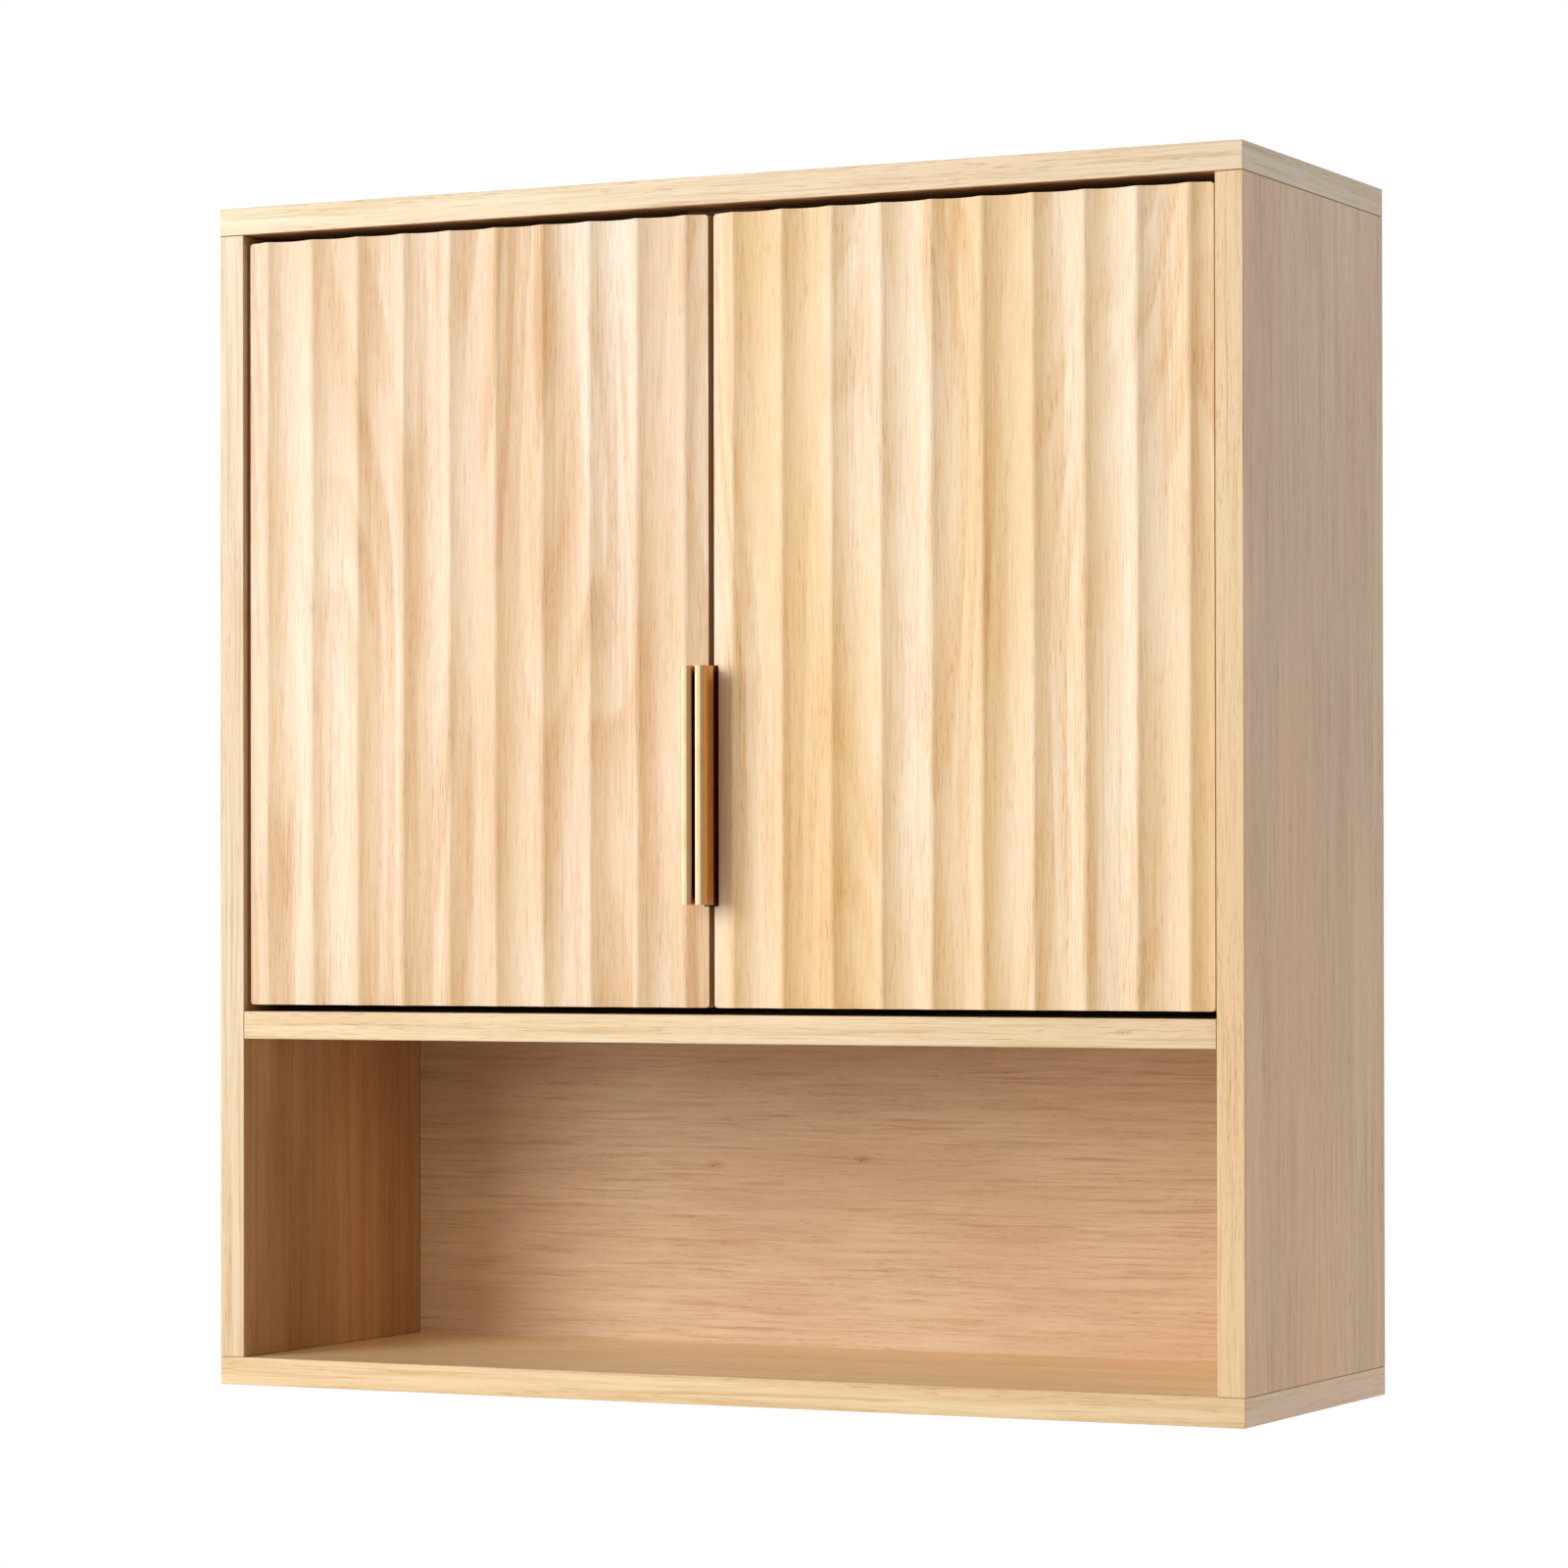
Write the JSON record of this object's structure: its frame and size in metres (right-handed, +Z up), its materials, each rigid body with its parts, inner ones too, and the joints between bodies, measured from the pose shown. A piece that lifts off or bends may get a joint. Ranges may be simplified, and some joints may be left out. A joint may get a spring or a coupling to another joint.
{
  "type": "hanging wall cabinet",
  "caption": "Shallow oak wall cabinet with inset fluted doors on concealed hinges, slim brass edge pulls, and an open bay below; hangs from keyhole plates.",
  "frame": {"origin": "on the wall plane, midway between the two keyhole entries of the hanger plates", "axes": "+X to the right seen from the front, +Y into the wall, +Z up"},
  "size_m": [0.6, 0.2269, 0.645],
  "materials": {
    "oak_carcass": "pale oak veneer, satin",
    "oak_back": "pale oak veneer, satin",
    "oak_doors": "pale oak, satin",
    "brass_handles": "polished",
    "hinge_nickel": "nickel plated",
    "screw_steel": "zinc plated",
    "cam_zinc": "die-cast zinc",
    "plate_zinc": "zinc plated",
    "catch_plastic": "matte",
    "magnet_steel": "bare ferrite and steel",
    "beech_dowels": "bare"
  },
  "bodies": {
    "carcass": {"back_panel": "oak_back", "bottom_panel": "oak_carcass", "bottom_screws": "screw_steel", "cam_bolts": "screw_steel", "cam_discs": "cam_zinc", "carcass_dowels": "beech_dowels", "catch_housing": "catch_plastic", "catch_magnets": "magnet_steel", "catch_screws": "screw_steel", "fixed_shelf": "oak_carcass", "hanger_screws": "screw_steel", "hinge_arm_screws": "screw_steel", "hinge_seat_screws": "screw_steel", "inner_shelf": "oak_carcass", "left_hanger_plate": "plate_zinc", "left_lower_hinge_arm": "hinge_nickel", "left_lower_hinge_seat": "hinge_nickel", "left_side_panel": "oak_carcass", "left_upper_hinge_arm": "hinge_nickel", "left_upper_hinge_seat": "hinge_nickel", "right_hanger_plate": "plate_zinc", "right_lower_hinge_arm": "hinge_nickel", "right_lower_hinge_seat": "hinge_nickel", "right_side_panel": "oak_carcass", "right_upper_hinge_arm": "hinge_nickel", "right_upper_hinge_seat": "hinge_nickel", "shelf_pins": "screw_steel", "top_panel": "oak_carcass"},
    "left_door": {"left_cup_screws": "screw_steel", "left_door_panel": "oak_doors", "left_handle": "brass_handles", "left_handle_screws": "screw_steel", "left_lower_hinge_cup": "hinge_nickel", "left_lower_hinge_pin": "hinge_nickel", "left_strike_plate": "plate_zinc", "left_strike_screw": "screw_steel", "left_upper_hinge_cup": "hinge_nickel", "left_upper_hinge_pin": "hinge_nickel"},
    "right_door": {"right_cup_screws": "screw_steel", "right_door_panel": "oak_doors", "right_handle": "brass_handles", "right_handle_screws": "screw_steel", "right_lower_hinge_cup": "hinge_nickel", "right_lower_hinge_pin": "hinge_nickel", "right_strike_plate": "plate_zinc", "right_strike_screw": "screw_steel", "right_upper_hinge_cup": "hinge_nickel", "right_upper_hinge_pin": "hinge_nickel"}
  },
  "joints": [
    {"name": "left_door_swing", "type": "hinge", "parent": "carcass", "child": "left_door", "pos_m": [-0.2669, -0.1964, 0], "axis": [0, 0, -1], "range_deg": [0, 95]},
    {"name": "right_door_swing", "type": "hinge", "parent": "carcass", "child": "right_door", "pos_m": [0.2669, -0.1964, 0], "axis": [0, 0, 1], "range_deg": [0, 95]}
  ]
}
